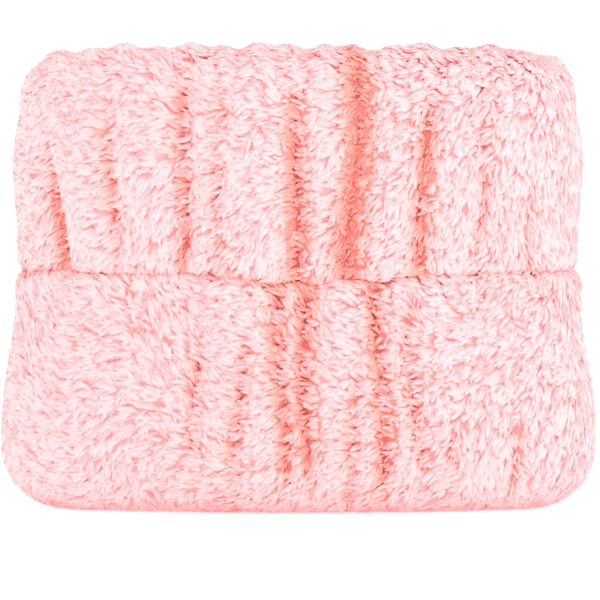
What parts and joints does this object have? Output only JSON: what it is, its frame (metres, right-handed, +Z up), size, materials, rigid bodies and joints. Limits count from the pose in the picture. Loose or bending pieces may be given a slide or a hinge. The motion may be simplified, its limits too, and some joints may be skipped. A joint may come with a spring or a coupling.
{
  "type": "plush elastic spa band pair",
  "caption": "Stacked fluffy, gathered elastic tube bands for face washing; the upper one lifts off and each stretches open over a hand.",
  "frame": {"origin": "centre of the stack's underside, on the surface it stands on", "axes": "+Z up through the openings, +X to the right of the front, front faces -Y"},
  "size_m": [0.122, 0.0742, 0.0938],
  "materials": {
    "plush_pile": "long fluffy pale pink pile",
    "lining_pile": "shorter pale pink absorbent pile",
    "elastic_webbing": "woven white elastic",
    "sewing_thread": "pink polyester thread",
    "seam_allowance": "overlocked raw fabric edges"
  },
  "bodies": {
    "lower_front": {"lower_plush_front": "plush_pile", "lower_lining_front": "lining_pile", "lower_elastic_front": "elastic_webbing", "lower_top_seam_front": "seam_allowance", "lower_bottom_seam_front": "seam_allowance"},
    "lower_back": {"lower_plush_back": "plush_pile", "lower_lining_back": "lining_pile", "lower_elastic_back": "elastic_webbing", "lower_top_seam_back": "seam_allowance", "lower_bottom_seam_back": "seam_allowance", "lower_elastic_lap_stitches": "sewing_thread", "lower_back_seam": "seam_allowance", "lower_back_seam_stitches": "sewing_thread", "lower_lining_seam": "seam_allowance"},
    "upper_front": {"upper_plush_front": "plush_pile", "upper_lining_front": "lining_pile", "upper_elastic_front": "elastic_webbing", "upper_top_seam_front": "seam_allowance", "upper_bottom_seam_front": "seam_allowance"},
    "upper_back": {"upper_plush_back": "plush_pile", "upper_lining_back": "lining_pile", "upper_elastic_back": "elastic_webbing", "upper_top_seam_back": "seam_allowance", "upper_bottom_seam_back": "seam_allowance", "upper_elastic_lap_stitches": "sewing_thread", "upper_back_seam": "seam_allowance", "upper_back_seam_stitches": "sewing_thread", "upper_lining_seam": "seam_allowance"}
  },
  "joints": [
    {"name": "lower_stretch", "type": "slide", "parent": "lower_front", "child": "lower_back", "axis": [0, 1, 0], "range_m": [0, 0.04], "stiffness_N_per_m": 120},
    {"name": "upper_lift", "type": "slide", "parent": "lower_front", "child": "upper_front", "axis": [0, 0, 1], "range_m": [0, 0.07]},
    {"name": "upper_stretch", "type": "slide", "parent": "upper_front", "child": "upper_back", "axis": [0, 1, 0], "range_m": [0, 0.04], "stiffness_N_per_m": 120}
  ]
}
